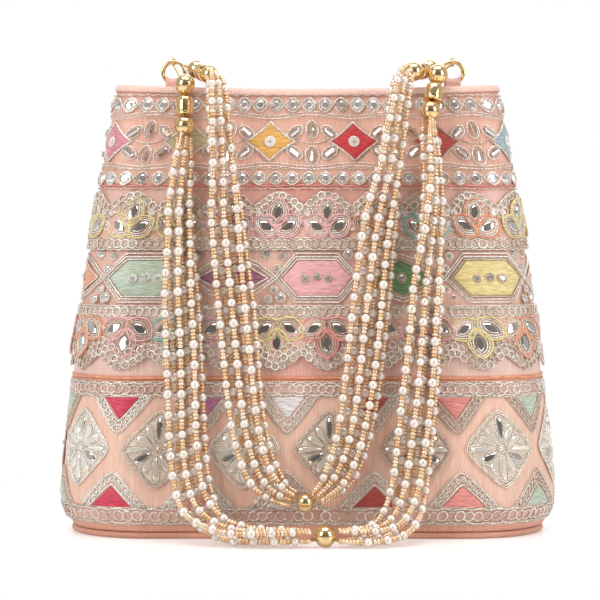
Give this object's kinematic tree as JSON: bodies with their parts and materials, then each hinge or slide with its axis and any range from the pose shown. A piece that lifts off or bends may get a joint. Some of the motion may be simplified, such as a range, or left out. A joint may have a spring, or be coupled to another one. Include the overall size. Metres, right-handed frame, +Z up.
{
  "type": "potli bag",
  "caption": "Embroidered pouch handbag with a flat oval base, scalloped lace bands, gold ring fittings and two hanging handles of pearl bead strands.",
  "frame": {"origin": "middle of the base, on the surface that the bag stands on", "axes": "+Z up out of the mouth, -Y towards the front face that the handles hang over, +X to the right as seen from the front"},
  "size_m": [0.2218, 0.121, 0.2122],
  "materials": {
    "embroidered_satin": "satin with raised thread, mirror and stone work",
    "plain_satin": "plain satin",
    "lining_satin": "plain satin",
    "silver_lace": "metallic thread lace",
    "grey_board": "matt pressed fibre board",
    "polished_gold": "polished gold plating",
    "pearl_beads": "pearl lustre"
  },
  "bodies": {
    "bag": {"front_panel": "embroidered_satin", "back_panel": "embroidered_satin", "base_panel": "plain_satin", "base_board": "grey_board", "base_piping": "plain_satin", "lining": "lining_satin", "top_binding": "plain_satin", "upper_scallop_lace": "silver_lace", "lower_scallop_lace": "silver_lace", "tab_front_left": "plain_satin", "tab_front_right": "plain_satin", "tab_rear_left": "plain_satin", "tab_rear_right": "plain_satin", "ring_front_left": "polished_gold", "ring_front_right": "polished_gold", "ring_rear_left": "polished_gold", "ring_rear_right": "polished_gold"},
    "front_handle": {"link_front_left": "polished_gold", "ball_front_left": "polished_gold", "barrel_front_left": "polished_gold", "cap_front_left": "polished_gold", "strand_front_left_1": "pearl_beads", "strand_front_left_2": "pearl_beads", "strand_front_left_3": "pearl_beads", "strand_front_left_4": "pearl_beads", "strand_front_left_5": "pearl_beads", "strand_front_left_6": "pearl_beads", "link_front_right": "polished_gold", "ball_front_right": "polished_gold", "barrel_front_right": "polished_gold", "cap_front_right": "polished_gold", "strand_front_right_1": "pearl_beads", "strand_front_right_2": "pearl_beads", "strand_front_right_3": "pearl_beads", "strand_front_right_4": "pearl_beads", "strand_front_right_5": "pearl_beads", "strand_front_right_6": "pearl_beads", "gather_ball_front": "polished_gold"},
    "rear_handle": {"link_rear_left": "polished_gold", "ball_rear_left": "polished_gold", "barrel_rear_left": "polished_gold", "cap_rear_left": "polished_gold", "strand_rear_left_1": "pearl_beads", "strand_rear_left_2": "pearl_beads", "strand_rear_left_3": "pearl_beads", "strand_rear_left_4": "pearl_beads", "strand_rear_left_5": "pearl_beads", "strand_rear_left_6": "pearl_beads", "link_rear_right": "polished_gold", "ball_rear_right": "polished_gold", "barrel_rear_right": "polished_gold", "cap_rear_right": "polished_gold", "strand_rear_right_1": "pearl_beads", "strand_rear_right_2": "pearl_beads", "strand_rear_right_3": "pearl_beads", "strand_rear_right_4": "pearl_beads", "strand_rear_right_5": "pearl_beads", "strand_rear_right_6": "pearl_beads", "gather_ball_rear": "polished_gold"}
  },
  "joints": [
    {"name": "front_handle_swing", "type": "hinge", "parent": "bag", "child": "front_handle", "pos_m": [0, -0.00395, 0.2099], "axis": [-1, 0, 0], "range_deg": [0, 140]},
    {"name": "rear_handle_swing", "type": "hinge", "parent": "bag", "child": "rear_handle", "pos_m": [0, 0.00395, 0.2099], "axis": [-1, 0, 0], "range_deg": [0, 160]}
  ]
}
